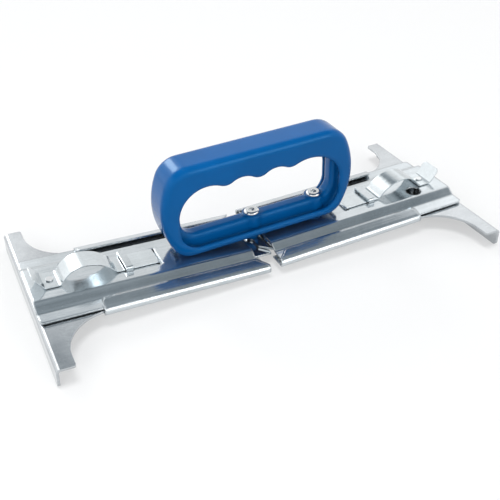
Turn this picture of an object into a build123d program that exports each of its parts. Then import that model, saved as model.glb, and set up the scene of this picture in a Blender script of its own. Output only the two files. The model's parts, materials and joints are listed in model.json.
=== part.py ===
from build123d import *
import os
from math import atan2, cos, radians, sin, sqrt, tan

os.makedirs("parts", exist_ok=True)

# Slab lifter: two sheet-steel halves hinged in the middle, a moulded handle fixed to the right half,
# a sliding jaw in each half and a spring latch on top of each half.
# Each half has its own frame: x runs outwards from the middle, y across, z up from the guide's underside.
# Sizes in millimetres, angles in degrees.

# Jaw: T-shaped plate with a bent-down gripping lip
jaw_reach = 155.0
jaw_width = 147.0
jaw_sheet = 1.6
lip_depth = 12.8
lip_bend = 1.0
lip_corner = 2.5
horn_width = 11.5
horn_fillet = 30.7
horn_corner = 1.5
tongue_start = 14.0
tongue_gap = 1.3
tongue_corner = 4.0
latch_hole = 6.2
latch_pitch = 25.0
latch_steps = 4

# Guide: C-shaped sleeve that the jaw slides in, with lips that splay upwards
guide_width = 73.0
guide_sheet = 1.2
guide_bend = 1.0
lip_fold = 2.0
guide_start = 4.0
guide_setback = 39.0
guide_lip = 9.5
lip_splay = 16.0
lip_inner_chamfer = 7.0
lip_outer_corner = 3.5

# Channel: hat-section rail under the guide's lips
channel_sheet = 1.2
channel_rise = 5.2
crown_width = 36.4
foot_width = 48.0
channel_bend = 4.0
flange_corner = 3.0
right_channel_start = 5.2
left_channel_start = 9.0
channel_setback = 1.0
sight_hole = 11.0
sight_setback = 27.5
sight_y = 11.0

# Hinge between the halves
rest_fold = 4.6
hinge_x = 8.0
pin_diameter = 2.6
barrel_wall = 1.5
barrel_half = 16.8
eye_half = 8.0
leaf_sheet = 1.5
leaf_reach = 4.3
leaf_shoulder = 1.6
leaf_chamfer = 8.5
right_leaf_end = 58.0
left_leaf_end = 42.0
left_leaf_reach = 3.9
stop_reach = 5.0
floor_notch = 46.0
floor_notch_end = 14.6

# Handle and its fixings
handle_left = -66.2
handle_right = 72.3
handle_height = 65.4
handle_depth = 25.0
handle_side_radius = 54.0
handle_side_height = 33.6
handle_top_corner = 17.0
handle_bottom_corner = 14.0
handle_edge = 4.5
opening_right = 62.0
rim_height = 6.0
opening_corner = 14.0
scallop_count = 4
scallop_pitch = 24.4
scallop_first = -34.8
scallop_radius = 14.2
scallop_top = 49.8
scallop_bump = 9.0
opening_end_radius = 20.4
opening_edge = 1.2
web_height = 13.0
web_width = 10.0
web_edge = 2.5
web_end = 3.0
web_corner = 10.0
groove_depth = 3.0
rim_width = 2.8
boss_diameter = 13.6
boss_rise = 0.8
seat_gap = 0.6
screw_diameter = 6.0
head_diameter = 10.5
head_height = 2.0
head_round = 1.5
socket_size = 4.0
socket_depth = 1.4
outer_screw_x = 48.3
handle_lift = 2.4
spacer_diameter = 8.6
outer_spacer_diameter = 12.0
dimple_diameter = 13.0
rivet_diameter = 4.0
rivet_head = 8.0
rivet_head_height = 1.0
rivet_chamfer = 0.5
inner_rivet_x = 20.0
outer_rivet_x = 33.0
rivet_dimple = 11.0

# Latch: spring strip hooked into the channel, held by a strap, with a peg over the jaw's holes
spring_width = 16.5
spring_sheet = 0.7
hook_setback = 84.0
hook_drop = 2.7
hook_toe = 3.0
hook_bend = 1.0
arch_setback = 58.0
arch_rise = 10.0
arch_rise_angle = 48.0
arch_rise_bend = 5.0
arch_fall_angle = 62.0
arch_foot = 3.0
tab_setback = 11.6
tab_bend = 2.0
tab_angle = 52.0
tab_length = 10.5
tab_corner = 3.0
peg_setback = 15.0
peg_diameter = 5.0
peg_neck = 3.0
peg_head_height = 0.8
strap_setback = 63.5
strap_length = 4.6
strap_sheet = 1.2
strap_room = 1.5
strap_side_gap = 0.5

# Clearances
slide_gap = 0.2
rail_gap = 0.8
flange_gap = 1.5
strip_gap = 0.4
fit_gap = 0.04
side_gap = 0.3
hole_gap = 0.2
peg_gap = 0.8
slot_gap = 1.1
stop_gap = 0.03

# Heights in a half's own frame
jaw_bottom = guide_sheet + slide_gap
jaw_top = jaw_bottom + jaw_sheet
flange_bottom = jaw_top + rail_gap
flange_top = flange_bottom + channel_sheet
crown_top = flange_bottom + channel_rise
crown_bottom = crown_top - channel_sheet
leaf_top = flange_bottom + leaf_sheet
lip_bottom = jaw_top - lip_depth
spring_bottom = crown_top + strip_gap
handle_bottom = crown_top + handle_lift
handle_top = handle_bottom + handle_height

# Widths that follow from the sheets
guide_inside = guide_width / 2 - guide_sheet
flange_half = guide_inside - flange_gap
tongue_half = guide_inside - tongue_gap
horn_length = jaw_width / 2 - tongue_half
neck_fillet = min(horn_fillet, horn_length - 2 * horn_corner)
slope_run = (foot_width - crown_width) / 2
slope_drop = crown_top - flange_top
slope_angle = atan2(slope_drop, slope_run)
slope_inside = foot_width / 2 - channel_sheet / sin(slope_angle)
leaf_half = slope_inside - (leaf_top - flange_top) * slope_run / slope_drop - side_gap

# The channel's middle line, half a sheet inside its upper face
bend_shift = channel_sheet / 2 * tan(slope_angle / 2)
crown_edge = crown_width / 2 - bend_shift
foot_middle = foot_width / 2 - bend_shift
crown_middle = crown_top - channel_sheet / 2
flange_middle = flange_top - channel_sheet / 2

# The lip's middle line climbs inwards and rests on the flange's edge
lip_slope = tan(radians(lip_splay))
wall_middle = guide_width / 2 - guide_sheet / 2
lip_edge = guide_width / 2 - guide_lip
lip_seat = flange_top + fit_gap + guide_sheet / 2 / cos(radians(lip_splay))
lip_foot = lip_seat - (wall_middle - flange_half) * lip_slope
lip_tip = lip_foot + (wall_middle - lip_edge) * lip_slope
bend_radius = guide_bend + guide_sheet / 2
fold_radius = lip_fold + guide_sheet / 2

# Places along a half, set back from the jaw's outer face
channel_end = jaw_reach - channel_setback
guide_end = jaw_reach - guide_setback
sight_x = jaw_reach - sight_setback
hook_x = jaw_reach - hook_setback
strap_x = jaw_reach - strap_setback
arch_start = jaw_reach - arch_setback
peg_x = jaw_reach - peg_setback
tab_start = jaw_reach - tab_setback

# Hinge: the upper leaf's free end meets the lower leaf at the rest fold
barrel_radius = pin_diameter / 2 + barrel_wall
leaf_arm = hinge_x + leaf_reach
fold_angle = radians(rest_fold)
leaf_gap = (leaf_arm * sin(fold_angle) + stop_gap + barrel_radius * (1 - cos(fold_angle))) / cos(fold_angle)
left_drop = leaf_sheet + leaf_gap
hinge_z = flange_bottom - left_drop + barrel_radius

# Both lips stand on the floor: the line through their lower inner corners is level
lip_x = jaw_reach - jaw_sheet
right_corner_x = lip_x - hinge_x
right_corner_z = lip_bottom - hinge_z
left_arm_x = lip_x + hinge_x
left_arm_z = lip_bottom - left_drop - hinge_z
left_corner_x = -left_arm_x * cos(fold_angle) + left_arm_z * sin(fold_angle)
left_corner_z = left_arm_x * sin(fold_angle) + left_arm_z * cos(fold_angle)
right_tilt = atan2(left_corner_z - right_corner_z, right_corner_x - left_corner_x)
left_tilt = fold_angle - right_tilt
floor_drop = right_corner_x * sin(right_tilt) + right_corner_z * cos(right_tilt)
right_end = (right_corner_x + jaw_sheet) * cos(right_tilt) - right_corner_z * sin(right_tilt)
left_end = (left_arm_x + jaw_sheet) * cos(left_tilt) - left_arm_z * sin(left_tilt)
hinge_point = Vector((left_end - right_end) / 2, 0, -floor_drop)

# Frames of the two halves; the left one is the right one turned about the vertical and folded
right_out = Vector(cos(right_tilt), 0, sin(right_tilt))
right_up = Vector(-sin(right_tilt), 0, cos(right_tilt))
right_origin = hinge_point - right_out * hinge_x - right_up * hinge_z
right_base = Plane(origin=right_origin, x_dir=right_out, z_dir=right_up)
left_out = Vector(-cos(left_tilt), 0, sin(left_tilt))
left_up = Vector(sin(left_tilt), 0, cos(left_tilt))
left_origin = hinge_point + left_out * hinge_x - left_up * (hinge_z + left_drop)
left_base = Plane(origin=left_origin, x_dir=left_out, z_dir=left_up)
right_along = Plane(origin=right_origin, x_dir=right_out, z_dir=-right_base.y_dir)
left_along = Plane(origin=left_origin, x_dir=left_out, z_dir=-left_base.y_dir)
halves = (("right", right_base, right_along), ("left", left_base, left_along))

# Strap: its legs stand beside the strip
leg_middle = spring_width / 2 + strap_side_gap + strap_sheet / 2
strap_top = spring_bottom + spring_sheet + strap_room + strap_sheet

# Latch arch: a long slope on the inner side and a steep one on the outer side, each from the strip's flat
spring_line = spring_bottom + spring_sheet / 2
fall = 1 - cos(radians(arch_fall_angle))
rise = 1 - cos(radians(arch_rise_angle))
inner_radius = arch_rise / rise - arch_rise_bend
outer_radius = arch_rise / fall - arch_foot

for side, base, along in halves:
    across = Plane(origin=base.origin, x_dir=base.y_dir, z_dir=base.x_dir)
    out = Axis(base.origin, base.x_dir)
    up = Axis(base.origin, base.z_dir)

    # Guide: one sheet bent up at both sides and folded in over the channel's flanges
    with BuildPart() as guide:
        with BuildSketch(across.offset(guide_start)):
            with BuildLine():
                FilletPolyline(
                    (-lip_edge, lip_tip),
                    (-wall_middle, lip_foot),
                    (-wall_middle, guide_sheet / 2),
                    (wall_middle, guide_sheet / 2),
                    (wall_middle, lip_foot),
                    (lip_edge, lip_tip),
                    radius=(fold_radius, bend_radius, bend_radius, fold_radius),
                )
            trace(line_width=guide_sheet)
        extrude(amount=guide_end - guide_start)
        lip_edges = guide.edges().filter_by(lambda e: abs(e.length - guide_sheet) < 0.01).group_by(out)
        fillet(lip_edges[-1], lip_outer_corner)
        chamfer(lip_edges[0], lip_inner_chamfer)
        if side == "right":
            with BuildSketch(base):
                with Locations(((guide_start + floor_notch_end) / 2, 0)):
                    Rectangle(floor_notch_end - guide_start, floor_notch)
            extrude(amount=jaw_bottom, mode=Mode.SUBTRACT)
    guide.part.label = side + "_guide"
    export_step(guide.part, "parts/" + side + "_guide.step")

    # Channel: hat section, with the latch's slot and peg hole and the round sight hole
    channel_start = right_channel_start if side == "right" else left_channel_start
    with BuildPart() as channel:
        with BuildSketch(across.offset(channel_start)):
            with BuildLine():
                FilletPolyline(
                    (-flange_half, flange_middle),
                    (-foot_middle, flange_middle),
                    (-crown_edge, crown_middle),
                    (crown_edge, crown_middle),
                    (foot_middle, flange_middle),
                    (flange_half, flange_middle),
                    radius=channel_bend + channel_sheet / 2,
                )
            trace(line_width=channel_sheet)
        extrude(amount=channel_end - channel_start)
        fillet(channel.edges().filter_by(up).group_by(out)[-1], flange_corner)
        with BuildSketch(base.offset(crown_top)):
            with Locations((hook_x, 0)):
                Rectangle(spring_sheet + 2 * slot_gap, spring_width + 2 * slot_gap)
            with Locations((peg_x, 0)):
                Circle(peg_diameter / 2 + peg_gap)
            with Locations((sight_x, -sight_y)):
                Circle(sight_hole / 2)
            with Locations((strap_x, leg_middle), (strap_x, -leg_middle)):
                Rectangle(strap_length + 2 * fit_gap, strap_sheet + 2 * fit_gap)
            if side == "right":
                with Locations((outer_screw_x, 0)):
                    Circle(screw_diameter / 2 + hole_gap)
            else:
                with Locations((inner_rivet_x, 0), (outer_rivet_x, 0)):
                    Circle(rivet_diameter / 2 + fit_gap)
        extrude(amount=-channel_sheet, mode=Mode.SUBTRACT)
    channel.part.label = side + "_channel"
    export_step(channel.part, "parts/" + side + "_channel.step")

    # Jaw: tongue and horns cut from plate, the outer edge bent down into the lip
    with BuildPart() as jaw:
        with BuildSketch(base.offset(jaw_bottom)) as plate:
            with Locations(((tongue_start + jaw_reach) / 2, 0)):
                Rectangle(jaw_reach - tongue_start, 2 * tongue_half)
            with Locations((jaw_reach - horn_width / 2, 0)):
                Rectangle(horn_width, jaw_width)
            necks = plate.vertices().filter_by(lambda v: abs(v.X - jaw_reach + horn_width) < 0.1)
            fillet(necks.filter_by(lambda v: abs(v.Y) < tongue_half + 1), neck_fillet)
            tips = plate.vertices().filter_by(lambda v: abs(v.Y) > jaw_width / 2 - 0.1)
            fillet(tips.filter_by(lambda v: v.X < jaw_reach - 1), horn_corner)
            ends = plate.vertices().filter_by(lambda v: v.X < tongue_start + 0.1)
            chamfer(ends, tongue_corner)
            with Locations(*[(peg_x - step * latch_pitch, 0) for step in range(latch_steps)]):
                Circle(latch_hole / 2, mode=Mode.SUBTRACT)
        extrude(amount=jaw_sheet)
        with BuildSketch(base.offset(lip_bottom)):
            with Locations((jaw_reach - jaw_sheet / 2, 0)):
                Rectangle(jaw_sheet, jaw_width)
        extrude(amount=lip_depth)
        across_edges = jaw.edges().filter_by(Axis.Y)
        fillet(across_edges.sort_by(out)[-2:].sort_by(up)[-1], lip_bend + jaw_sheet)
        under = base.offset(jaw_bottom)
        bend_edges = jaw.edges().filter_by(Axis.Y)
        bend_edges = bend_edges.filter_by(lambda edge: abs(under.to_local_coords(edge.center()).Z) < 0.1)
        fillet(bend_edges.sort_by(out)[-1], lip_bend)
        fillet(jaw.edges().filter_by(out).group_by(up)[0], lip_corner)
    jaw.part.label = side + "_jaw"
    export_step(jaw.part, "parts/" + side + "_jaw.step")

    # Latch spring: one strip, hooked at the tail, arched in the middle, turned up into a finger tab
    with BuildPart() as spring:
        with BuildSketch(along):
            with BuildLine() as strip:
                hook_z = spring_line - hook_drop
                toe = Line((hook_x - hook_toe, hook_z), (hook_x - hook_bend, hook_z))
                turn = JernArc(toe @ 1, toe % 1, hook_bend, 90)
                shank = Line(turn @ 1, (hook_x, spring_line - hook_bend))
                neck = JernArc(shank @ 1, shank % 1, hook_bend, -90)
                tail = Line(neck @ 1, (arch_start, spring_line))
                climb = JernArc(tail @ 1, tail % 1, arch_rise_bend, arch_rise_angle)
                slope = JernArc(climb @ 1, climb % 1, inner_radius, -arch_rise_angle)
                brow = JernArc(slope @ 1, slope % 1, outer_radius, -arch_fall_angle)
                foot = JernArc(brow @ 1, brow % 1, arch_foot, arch_fall_angle)
                seat = Line(foot @ 1, (tab_start, spring_line))
                lift = JernArc(seat @ 1, seat % 1, tab_bend, tab_angle)
                PolarLine(lift @ 1, tab_length, tab_angle)
            trace(line_width=spring_sheet)
        extrude(amount=spring_width / 2, both=True)
        corners = spring.edges().sort_by(out).filter_by(lambda e: abs(e.length - spring_sheet) < 0.01)
        fillet(corners.sort_by(up)[-2:], tab_corner)
        with BuildSketch(base.offset(spring_bottom)):
            with Locations((peg_x, 0)):
                Circle(peg_neck / 2 + fit_gap)
        extrude(amount=2 * spring_sheet, mode=Mode.SUBTRACT)
    spring.part.label = side + "_latch_spring"
    export_step(spring.part, "parts/" + side + "_latch_spring.step")

    # Latch peg: riveted into the strip, hangs through the channel over the jaw's row of holes
    with BuildPart() as peg:
        with BuildSketch(base.offset(jaw_top + side_gap)):
            with Locations((peg_x, 0)):
                Circle(peg_diameter / 2)
        extrude(amount=spring_bottom - jaw_top - side_gap)
        with BuildSketch(base.offset(spring_bottom)):
            with Locations((peg_x, 0)):
                Circle(peg_neck / 2)
        extrude(amount=spring_sheet)
        with BuildSketch(base.offset(spring_bottom + spring_sheet)):
            with Locations((peg_x, 0)):
                Circle(peg_diameter / 2)
        extrude(amount=peg_head_height)
    peg.part.label = side + "_latch_peg"
    export_step(peg.part, "parts/" + side + "_latch_peg.step")

    # Latch strap: staple over the strip, legs set in the crown's slots, leaves the strip room to lift
    with BuildPart() as strap:
        with BuildSketch(across.offset(strap_x - strap_length / 2)) as staple:
            with BuildLine():
                Polyline(
                    (0, strap_top),
                    (leg_middle + strap_sheet / 2, strap_top),
                    (leg_middle + strap_sheet / 2, crown_bottom),
                    (leg_middle - strap_sheet / 2, crown_bottom),
                    (leg_middle - strap_sheet / 2, strap_top - strap_sheet),
                    (0, strap_top - strap_sheet),
                )
                mirror(about=Plane.YZ)
            make_face()
            shoulder = staple.vertices().group_by(Axis.Y)[-1].filter_by(lambda v: abs(v.X) > strap_sheet)
            fillet(shoulder, strap_sheet)
        extrude(amount=strap_length)
    strap.part.label = side + "_latch_strap"
    export_step(strap.part, "parts/" + side + "_latch_strap.step")

# Upper hinge leaf, on the right half: chamfered end with a round nose for the centre screw, window for
# the eye, two barrels, screw dimple
with BuildPart() as right_leaf:
    with BuildSketch(right_base.offset(flange_bottom)) as leaf_plan:
        with Locations(((right_leaf_end - leaf_shoulder) / 2, 0)):
            Rectangle(right_leaf_end + leaf_shoulder, 2 * leaf_half)
        chamfer(leaf_plan.vertices().group_by(Axis.X)[0], leaf_chamfer)
        with Locations((0, 0)):
            Circle(leaf_reach)
        with Locations((hinge_x, 0)):
            Rectangle(2 * (barrel_radius + side_gap), 2 * (eye_half + side_gap), mode=Mode.SUBTRACT)
    extrude(amount=leaf_sheet)
    for start in (eye_half + side_gap, -barrel_half):
        with BuildSketch(right_along.offset(start)):
            with Locations((hinge_x, hinge_z)):
                Circle(barrel_radius)
        extrude(amount=barrel_half - eye_half - side_gap)
    with BuildSketch(right_base.offset(leaf_top)):
        with Locations((outer_screw_x, 0)):
            Circle(dimple_diameter / 2)
    extrude(amount=crown_bottom - leaf_top)
    with BuildSketch(right_along):
        with Locations((hinge_x, hinge_z)):
            Circle(pin_diameter / 2 + fit_gap)
    extrude(amount=barrel_half, both=True, mode=Mode.SUBTRACT)
    with BuildSketch(right_base.offset(flange_bottom)):
        with Locations((0, 0), (outer_screw_x, 0)):
            Circle(screw_diameter / 2 + fit_gap)
    extrude(amount=crown_bottom - flange_bottom, mode=Mode.SUBTRACT)
right_leaf.part.label = "right_leaf"
export_step(right_leaf.part, "parts/right_leaf.step")

# Lower hinge leaf, on the left half: eye between the barrels, stop tongue past it, rivet dimples
with BuildPart() as left_leaf:
    with BuildSketch(left_base.offset(flange_bottom)):
        with Locations(((left_leaf_end - left_leaf_reach) / 2, 0)):
            Rectangle(left_leaf_end + left_leaf_reach, 2 * leaf_half)
        with Locations((-(hinge_x + stop_reach) / 2, 0)):
            Rectangle(hinge_x + stop_reach, 2 * eye_half)
    extrude(amount=leaf_sheet)
    with BuildSketch(left_along):
        with Locations((-hinge_x, hinge_z + left_drop)):
            Circle(barrel_radius)
    extrude(amount=eye_half, both=True)
    with BuildSketch(left_base.offset(leaf_top)):
        with Locations((inner_rivet_x, 0), (outer_rivet_x, 0)):
            Circle(rivet_dimple / 2)
    extrude(amount=crown_bottom - leaf_top)
    with BuildSketch(left_along):
        with Locations((-hinge_x, hinge_z + left_drop)):
            Circle(pin_diameter / 2 + fit_gap)
    extrude(amount=eye_half, both=True, mode=Mode.SUBTRACT)
    with BuildSketch(left_base.offset(flange_bottom)):
        with Locations((inner_rivet_x, 0), (outer_rivet_x, 0)):
            Circle(rivet_diameter / 2 + fit_gap)
    extrude(amount=crown_bottom - flange_bottom, mode=Mode.SUBTRACT)
left_leaf.part.label = "left_leaf"
export_step(left_leaf.part, "parts/left_leaf.step")

with BuildPart() as hinge_pin:
    with BuildSketch(right_along):
        with Locations((hinge_x, hinge_z)):
            Circle(pin_diameter / 2)
    extrude(amount=barrel_half, both=True)
hinge_pin.part.label = "hinge_pin"
export_step(hinge_pin.part, "parts/hinge_pin.step")

# Rivets that hold the lower leaf under the left channel's crown
left_up_axis = Axis(left_base.origin, left_base.z_dir)
for name, rivet_x in (("inner_leaf_rivet", inner_rivet_x), ("outer_leaf_rivet", outer_rivet_x)):
    with BuildPart() as rivet:
        with BuildSketch(left_base.offset(flange_bottom)):
            with Locations((rivet_x, 0)):
                Circle(rivet_diameter / 2)
        extrude(amount=crown_top - flange_bottom)
        with BuildSketch(left_base.offset(crown_top)):
            with Locations((rivet_x, 0)):
                Circle(rivet_head / 2)
        extrude(amount=rivet_head_height)
        chamfer(rivet.edges().filter_by(GeomType.CIRCLE).sort_by(left_up_axis)[-1], rivet_chamfer)
    rivet.part.label = name
    export_step(rivet.part, "parts/" + name + ".step")

# Handle: closed loop with bulging ends and four finger scallops; a web with two screw bosses stands on
# the lower bar, with a groove on each side of it
crest_z = handle_bottom + web_height
seat_z = crest_z + boss_rise
rim_z = handle_bottom + rim_height
finger_z = handle_bottom + scallop_top - scallop_radius
end_z = handle_bottom + scallop_top - opening_end_radius
scallop_last = scallop_first + (scallop_count - 1) * scallop_pitch
opening_left = scallop_first - opening_end_radius
opening_middle = (opening_left + opening_right) / 2
opening_width = opening_right - opening_left
groove_bottom = rim_z - groove_depth
groove_top = end_z + sqrt(opening_end_radius**2 - (opening_end_radius - web_end) ** 2)
handle_middle = (handle_left + handle_right) / 2
handle_width = handle_right - handle_left
with BuildPart() as handle:
    with BuildSketch(right_along) as loop:
        with Locations((handle_middle, handle_bottom + handle_side_height)):
            SlotOverall(handle_width, 2 * handle_side_radius)
        with Locations((handle_middle, handle_bottom + handle_height / 2)):
            Rectangle(handle_width, handle_height, mode=Mode.INTERSECT)
        fillet(loop.vertices().group_by(Axis.Y)[-1], handle_top_corner)
        fillet(loop.vertices().group_by(Axis.Y)[0], handle_bottom_corner)
    extrude(amount=handle_depth / 2, both=True)
    fillet(handle.faces().filter_by(Axis.Y).edges(), handle_edge)
    with BuildSketch(right_along) as opening:
        with Locations((scallop_first, end_z)):
            Circle(opening_end_radius)
        with Locations(*[(scallop_first + finger * scallop_pitch, finger_z) for finger in (1, 2)]):
            Circle(scallop_radius)
        with Locations((scallop_last, end_z)):
            Ellipse(opening_right - scallop_last, opening_end_radius)
        with Locations((opening_middle, end_z / 2)):
            Rectangle(opening_width, end_z, mode=Mode.SUBTRACT)
        with Locations((opening_middle, (rim_z + end_z) / 2)):
            Rectangle(opening_width, end_z - rim_z)
        fillet(opening.vertices().group_by(Axis.Y)[0], opening_corner)
        fillet(opening.vertices().filter_by(lambda v: v.Y > end_z + 2), scallop_bump)
    extrude(amount=handle_depth / 2, both=True, mode=Mode.SUBTRACT)
    rims = handle.faces().filter_by(Axis.Y).sort_by(Axis.Y)
    fillet(rims[0].inner_wires()[0].edges() + rims[-1].inner_wires()[0].edges(), opening_edge)
    with BuildSketch(right_along) as groove:
        with Locations((opening_middle, (groove_bottom + groove_top) / 2)):
            Rectangle(opening_width + 2 * groove_depth, groove_top - groove_bottom)
        fillet(groove.vertices().group_by(Axis.Y)[0], opening_corner + groove_depth)
    extrude(amount=handle_depth / 2 - rim_width, both=True, mode=Mode.SUBTRACT)
    with BuildSketch(right_along) as web:
        with Locations((opening_middle, (groove_bottom + groove_top) / 2)):
            Rectangle(opening_width + 2 * groove_depth, groove_top - groove_bottom)
        with BuildSketch(right_along, mode=Mode.SUBTRACT) as crest:
            with Locations((opening_middle, (crest_z + handle_top) / 2)):
                Rectangle(opening_width - 2 * web_end, handle_top - crest_z)
            fillet(crest.vertices().group_by(Axis.Y)[0], web_corner)
    extrude(amount=web_width / 2, both=True)
    crest_edges = handle.edges().filter_by(lambda e: abs(abs(e.center().Y) - web_width / 2) < 0.01)
    crest_plane = right_base.offset(crest_z)
    fillet(crest_edges.filter_by(lambda e: abs(crest_plane.to_local_coords(e.center()).Z) < 0.01), web_edge)
    with BuildSketch(right_base.offset(groove_bottom - groove_depth / 2)):
        with Locations((0, 0), (outer_screw_x, 0)):
            Circle(boss_diameter / 2)
    extrude(amount=seat_z - groove_bottom + groove_depth / 2)
    with BuildSketch(right_base.offset(seat_z)):
        with Locations((0, 0), (outer_screw_x, 0)):
            Circle(head_diameter / 2 + seat_gap)
    extrude(amount=head_height, mode=Mode.SUBTRACT)
    with BuildSketch(right_base.offset(handle_bottom)):
        with Locations((0, 0), (outer_screw_x, 0)):
            Circle(screw_diameter / 2 + hole_gap)
    extrude(amount=seat_z - handle_bottom, mode=Mode.SUBTRACT)
handle.part.label = "handle"
export_step(handle.part, "parts/handle.step")

# Button-head screws and the spacers that hold the handle off the rails
right_up_axis = Axis(right_base.origin, right_base.z_dir)
for name, screw_x in (("centre_screw", 0), ("outer_screw", outer_screw_x)):
    with BuildPart() as screw:
        with BuildSketch(right_base.offset(flange_bottom + slide_gap)):
            with Locations((screw_x, 0)):
                Circle(screw_diameter / 2)
        extrude(amount=seat_z - flange_bottom - slide_gap)
        with BuildSketch(right_base.offset(seat_z)):
            with Locations((screw_x, 0)):
                Circle(head_diameter / 2)
        extrude(amount=head_height)
        fillet(screw.edges().filter_by(GeomType.CIRCLE).sort_by(right_up_axis)[-1], head_round)
        with BuildSketch(right_base.offset(seat_z + head_height)):
            with Locations((screw_x, 0)):
                RegularPolygon(socket_size / 2, 6, major_radius=False)
        extrude(amount=-socket_depth, mode=Mode.SUBTRACT)
    screw.part.label = name
    export_step(screw.part, "parts/" + name + ".step")

spacers = (
    ("centre_spacer", 0, spacer_diameter, leaf_top),
    ("outer_spacer", outer_screw_x, outer_spacer_diameter, crown_top),
)
for name, spacer_x, diameter, spacer_bottom in spacers:
    with BuildPart() as spacer:
        with BuildSketch(right_base.offset(spacer_bottom)):
            with Locations((spacer_x, 0)):
                Circle(diameter / 2)
                Circle(screw_diameter / 2 + hole_gap, mode=Mode.SUBTRACT)
        extrude(amount=handle_bottom - spacer_bottom)
    spacer.part.label = name
    export_step(spacer.part, "parts/" + name + ".step")
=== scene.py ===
import json
from math import cos, radians, sin

import bpy
from mathutils import Matrix, Vector

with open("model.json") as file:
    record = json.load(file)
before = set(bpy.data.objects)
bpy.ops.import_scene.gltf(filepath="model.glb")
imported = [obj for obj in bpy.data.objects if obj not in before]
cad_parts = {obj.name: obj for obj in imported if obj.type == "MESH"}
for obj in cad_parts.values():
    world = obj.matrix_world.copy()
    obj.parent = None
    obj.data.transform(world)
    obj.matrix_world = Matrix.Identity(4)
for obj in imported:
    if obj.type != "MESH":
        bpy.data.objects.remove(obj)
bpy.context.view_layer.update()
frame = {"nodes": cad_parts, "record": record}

# Lengths are in metres and angles in degrees. Azimuth 0 looks along +Y, and positive turns towards +X.

# Camera; the lens and the sensor are in millimetres
camera_place = Vector((-0.18391, -0.37317, 0.29123))
camera_azimuth = 26.01
camera_elevation = -35.20
camera_roll = -0.28
camera_lens = 52.15
camera_sensor = 36.0

# Studio floor: partly lit, partly glowing where the camera or a reflection looks at it
floor_half = 3.0
floor_grey = 0.40
floor_glow = 0.45
floor_roughness = 0.9
floor_gloss = 0.1

# Soft lamps, overhead and at the front left: place, aim, size and power in watts
lamps = (
    ("overhead", Vector((-0.15, 0.0, 2.2)), Vector((-0.15, 0.0, 0.0)), 1.0, 23.0),
    ("left_fill", Vector((-0.42, -0.36, 0.24)), Vector((0.0, 0.0, 0.06)), 0.25, 0.6),
)

# Studio walls and ceiling: bright and white below, dim and bluish above, changing between two elevations
wall_light = 1.0
wall_tint = (1.0, 1.0, 1.0)
ceiling_light = 0.30
ceiling_tint = (0.87, 1.0, 1.09)
wall_top = 28.0
ceiling_edge = 35.0

# Walls that stand higher, soft boxes and places of another brightness, as round patches of the studio:
# azimuth, elevation, half width, softness and brightness. A patch of nearly 90 degrees is all that lies
# under a wall's upper edge.
panels = (
    ("ceiling", 60, 85, 12, 10, 0.42),
    ("left_wall", -38, -41.6, 89, 2, 1.32),
    ("right_wall", 75, -34.0, 89, 2, 1.0),
    ("front_wall", 145, -47, 89, 2, 1.3),
    ("side_box", -95, 15, 25, 15, 1.6),
    ("back_left", -12, 31, 14, 5, 1.9),
    ("back_right", 44, 36, 7, 8, 1.4),
    ("corner", 21.5, 33, 2, 13, 1.0),
    ("left_window", -11, 29, 7, 3, 9.0),
    ("front_box", 157, 18, 9, 4, 5.0),
)

# Noise: the part of the range from 0 to 1 in which nearly all values lie, and the octaves of broad and
# of fine marks
noise_middle = (0.3, 0.7)
broad_detail = 3.0
fine_detail = 2.0

# Plated steel: how fine its marks are, per metre, and their bumps' depth and strength. The cloud share is
# what the clouds add to tone and roughness. Streaks run along the tool.
metal_share = 0.97
streak_fineness = (12, 700, 700)
streak_depth = 0.00012
streak_strength = 0.75
cloud_fineness = 45.0
cloud_depth = 0.0006
cloud_strength = 0.12
cloud_share = 0.45
speckle_fineness = 1600.0
speckle_depth = 0.00005
speckle_strength = 0.1
roughness_spread = 0.3
steel_edge_samples = 6

# Steel finishes: dark and light colour, mean roughness, how far the shading of edges is eased, and the
# share of streaks, as against speckle
sheet_dark = (0.46, 0.50, 0.52)
sheet_light = (0.68, 0.72, 0.75)
steel_finishes = (
    ("plated_sheet", sheet_dark, sheet_light, 0.14, 0.0004, 0.4),
    ("plated_fixings", (0.58, 0.60, 0.61), (0.73, 0.75, 0.76), 0.16, 0.0003, 0.4),
    # The jaws' darker colours are painted shade, standing for the dim floor that their lips reflect; their
    # fewer streaks are their own finish.
    ("plated_jaws_painted_shade", (0.40, 0.42, 0.44), (0.61, 0.64, 0.66), 0.15, 0.0004, 0.15),
    ("plated_guides", sheet_dark, sheet_light, 0.14, 0.0028, 0.4),
    ("plated_springs", (0.50, 0.54, 0.56), (0.71, 0.76, 0.785), 0.15, 0.0004, 0.4),
    ("plated_channels", sheet_dark, sheet_light, 0.14, 0.0018, 0.4),
)

# Pieces with a finish of their own, by the last word of the node's name; the others follow their slot
own_finishes = {
    "jaw": "plated_jaws_painted_shade",
    "guide": "plated_guides",
    "spring": "plated_springs",
    "channel": "plated_channels",
}

# Handle: glossy blue plastic with faint flow marks and a fine grain
plastic_colour = (0.001, 0.081, 0.270)
plastic_spread = 0.07
plastic_gloss = 0.34
plastic_gloss_tint = (0.25, 0.6, 0.85)
plastic_smoothest = 0.11
plastic_roughest = 0.19
plastic_edge = 0.004
plastic_edge_samples = 8
flow_fineness = 40.0
grain_fineness = 900.0
grain_depth = 0.0003
grain_strength = 0.05


def direction(azimuth, elevation):
    a, e = radians(azimuth), radians(elevation)
    return Vector((sin(a) * cos(e), cos(a) * cos(e), sin(e)))


def add_node(tree, kind, **settings):
    """A new node; settings that name an input socket fill it, the others are node properties."""
    node = tree.nodes.new(kind)
    for name, value in settings.items():
        label = name.replace("_", " ")
        socket = next((s for s in node.inputs if s.name.lower() == label), None)
        if socket is not None:
            socket.default_value = value
        else:
            setattr(node, name, value)
    return node


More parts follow.
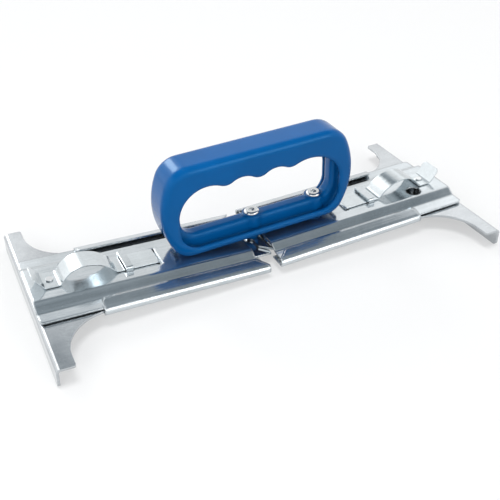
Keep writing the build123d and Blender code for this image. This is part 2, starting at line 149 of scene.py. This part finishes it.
def map_range(tree, value, from_range, to_range=(0.0, 1.0), interpolation="LINEAR"):
    node = add_node(tree, "ShaderNodeMapRange", interpolation_type=interpolation)
    node.inputs["From Min"].default_value, node.inputs["From Max"].default_value = from_range
    node.inputs["To Min"].default_value, node.inputs["To Max"].default_value = to_range
    tree.links.new(value, node.inputs["Value"])
    return node.outputs["Result"]


def colour_ramp(tree, value, places, colours):
    """A colour that goes from the first to the second as the value goes between two places."""
    node = add_node(tree, "ShaderNodeValToRGB")
    for element, place, colour in zip(node.color_ramp.elements, places, colours):
        element.position = place
        element.color = (*colour, 1)
    tree.links.new(value, node.inputs["Fac"])
    return node.outputs["Color"]


def noise(tree, place, fineness, detail):
    node = add_node(tree, "ShaderNodeTexNoise", scale=fineness, detail=detail)
    tree.links.new(place, node.inputs["Vector"])
    return node.outputs["Fac"]


def stretched_noise(tree, place, fineness, detail):
    """Noise whose fineness differs by axis, so that it is drawn out along one of them."""
    mapping = add_node(tree, "ShaderNodeMapping", scale=fineness)
    tree.links.new(place, mapping.inputs["Vector"])
    return noise(tree, mapping.outputs["Vector"], 1.0, detail)


def blend(tree, first, second, share):
    """Two grey values mixed, share of the second."""
    mix = add_node(tree, "ShaderNodeMix", data_type="FLOAT")
    mix.inputs["Factor"].default_value = share
    tree.links.new(first, mix.inputs["A"])
    tree.links.new(second, mix.inputs["B"])
    return mix.outputs["Result"]


def add_bump(tree, normal, height, strength, depth):
    bump = add_node(tree, "ShaderNodeBump", strength=strength, distance=depth)
    tree.links.new(height, bump.inputs["Height"])
    tree.links.new(normal, bump.inputs["Normal"])
    return bump.outputs["Normal"]


def new_material(name):
    material = bpy.data.materials.new(name)
    material.use_nodes = True
    tree = material.node_tree
    return material, tree, tree.nodes["Principled BSDF"]


def plated_steel(name, dark, light, roughness, edge, streak_share):
    """Bright zinc plate: rolling streaks along the tool, cloudy patches, fine speckle and eased edges."""
    material, tree, shader = new_material(name)
    link = tree.links.new
    place = add_node(tree, "ShaderNodeTexCoord").outputs["Object"]
    streaks = stretched_noise(tree, place, streak_fineness, broad_detail)
    clouds = noise(tree, place, cloud_fineness, broad_detail)
    speckle = noise(tree, place, speckle_fineness, fine_detail)
    surface = blend(tree, blend(tree, speckle, streaks, streak_share), clouds, cloud_share)
    link(colour_ramp(tree, surface, noise_middle, (dark, light)), shader.inputs["Base Color"])
    shader.inputs["Metallic"].default_value = metal_share
    rough = (roughness * (1 - roughness_spread), roughness * (1 + roughness_spread))
    link(map_range(tree, surface, noise_middle, rough), shader.inputs["Roughness"])
    normal = add_node(tree, "ShaderNodeBevel", samples=steel_edge_samples, radius=edge).outputs["Normal"]
    normal = add_bump(tree, normal, clouds, cloud_strength, cloud_depth)
    normal = add_bump(tree, normal, streaks, streak_strength * streak_share, streak_depth)
    normal = add_bump(tree, normal, speckle, speckle_strength, speckle_depth)
    link(normal, shader.inputs["Normal"])
    return material


def moulded_plastic(name):
    """Glossy moulded plastic: nearly even colour, faint flow marks, uneven gloss and eased edges."""
    material, tree, shader = new_material(name)
    link = tree.links.new
    place = add_node(tree, "ShaderNodeTexCoord").outputs["Object"]
    flow = noise(tree, place, flow_fineness, broad_detail)
    shades = [[factor * c for c in plastic_colour] for factor in (1 - plastic_spread, 1 + plastic_spread)]
    link(colour_ramp(tree, flow, noise_middle, shades), shader.inputs["Base Color"])
    shader.inputs["Specular IOR Level"].default_value = plastic_gloss
    shader.inputs["Specular Tint"].default_value = (*plastic_gloss_tint, 1)
    rough = (plastic_smoothest, plastic_roughest)
    link(map_range(tree, flow, noise_middle, rough), shader.inputs["Roughness"])
    bevel = add_node(tree, "ShaderNodeBevel", samples=plastic_edge_samples, radius=plastic_edge)
    grain = noise(tree, place, grain_fineness, fine_detail)
    normal = add_bump(tree, bevel.outputs["Normal"], grain, grain_strength, grain_depth)
    link(normal, shader.inputs["Normal"])
    return material


def make_finishes():
    """Every node gets a finish of its own kind or that of its slot."""
    finishes = {row[0]: plated_steel(*row) for row in steel_finishes}
    finishes["handle_plastic"] = moulded_plastic("handle_plastic")
    for part in frame["record"]["subparts"]:
        last_word = part["node"].split("_")[-1]
        finish = own_finishes.get(last_word, part["material_slot"])
        mesh = frame["nodes"][part["node"]].data
        mesh.materials.clear()
        mesh.materials.append(finishes[finish])


def make_floor():
    """A plain pale floor, which keeps the object's shadow."""
    mesh = bpy.data.meshes.new("floor")
    corners = [(x * floor_half, y * floor_half, 0) for x, y in ((-1, -1), (1, -1), (1, 1), (-1, 1))]
    mesh.from_pydata(corners, [], [(0, 1, 2, 3)])
    floor = bpy.data.objects.new("floor", mesh)
    bpy.context.scene.collection.objects.link(floor)
    material, tree, shader = new_material("studio_floor")
    link = tree.links.new
    shader.inputs["Base Color"].default_value = (floor_grey, floor_grey, floor_grey, 1)
    shader.inputs["Roughness"].default_value = floor_roughness
    shader.inputs["Specular IOR Level"].default_value = floor_gloss
    shader.inputs["Emission Color"].default_value = (1, 1, 1, 1)
    rays = add_node(tree, "ShaderNodeLightPath")
    seen = rays.outputs["Is Camera Ray"]
    for ray in ("Is Glossy Ray", "Is Transmission Ray"):
        either = add_node(tree, "ShaderNodeMath", operation="MAXIMUM")
        link(seen, either.inputs[0])
        link(rays.outputs[ray], either.inputs[1])
        seen = either.outputs[0]
    glow = add_node(tree, "ShaderNodeMath", operation="MULTIPLY")
    glow.inputs[1].default_value = floor_glow
    link(seen, glow.inputs[0])
    link(glow.outputs[0], shader.inputs["Emission Strength"])
    mesh.materials.append(material)


def make_world():
    """The studio all round: walls, ceiling and the patches on them."""
    world = bpy.data.worlds.new("studio")
    bpy.context.scene.world = world
    world.use_nodes = True
    tree = world.node_tree
    link = tree.links.new
    background = tree.nodes["Background"]
    place = add_node(tree, "ShaderNodeTexCoord").outputs["Generated"]
    height = add_node(tree, "ShaderNodeSeparateXYZ")
    link(place, height.inputs[0])
    change = (sin(radians(wall_top)), sin(radians(ceiling_edge)))
    light = map_range(tree, height.outputs["Z"], change, (wall_light, ceiling_light), "SMOOTHSTEP")
    for name, azimuth, elevation, half, soft, brightness in panels:
        near = add_node(tree, "ShaderNodeVectorMath", operation="DOT_PRODUCT", label=name)
        near.inputs[1].default_value = direction(azimuth, elevation)
        link(place, near.inputs[0])
        edge = (cos(radians(half + soft)), cos(radians(half)))
        mix = add_node(tree, "ShaderNodeMix", data_type="FLOAT")
        link(map_range(tree, near.outputs["Value"], edge, interpolation="SMOOTHSTEP"), mix.inputs["Factor"])
        link(light, mix.inputs["A"])
        mix.inputs["B"].default_value = brightness
        light = mix.outputs["Result"]
    link(light, background.inputs["Strength"])
    tints = colour_ramp(tree, light, (ceiling_light, wall_light), (ceiling_tint, wall_tint))
    link(tints, background.inputs["Color"])


def make_lamp(name, place, aim, size, power):
    """A soft round lamp that reflections don't show."""
    data = bpy.data.lights.new(name, "AREA")
    data.shape = "DISK"
    data.size = size
    data.energy = power
    lamp = bpy.data.objects.new(name, data)
    bpy.context.scene.collection.objects.link(lamp)
    lamp.location = place
    lamp.rotation_euler = (aim - place).to_track_quat("-Z", "Y").to_euler()
    lamp.visible_glossy = False


def make_camera():
    """The photograph's camera."""
    data = bpy.data.cameras.new("camera")
    data.sensor_width = camera_sensor
    data.lens = camera_lens
    camera = bpy.data.objects.new("camera", data)
    bpy.context.scene.collection.objects.link(camera)
    forward = direction(camera_azimuth, camera_elevation)
    across = direction(camera_azimuth + 90, 0)
    up = across.cross(forward)
    roll = radians(camera_roll)
    right = across * cos(roll) + up * sin(roll)
    top = up * cos(roll) - across * sin(roll)
    turn = Matrix((right, top, -forward)).transposed().to_4x4()
    camera.matrix_world = Matrix.Translation(camera_place) @ turn
    bpy.context.scene.camera = camera


make_finishes()
make_floor()
make_world()
for lamp in lamps:
    make_lamp(*lamp)
make_camera()
bpy.context.scene.view_settings.view_transform = "Standard"
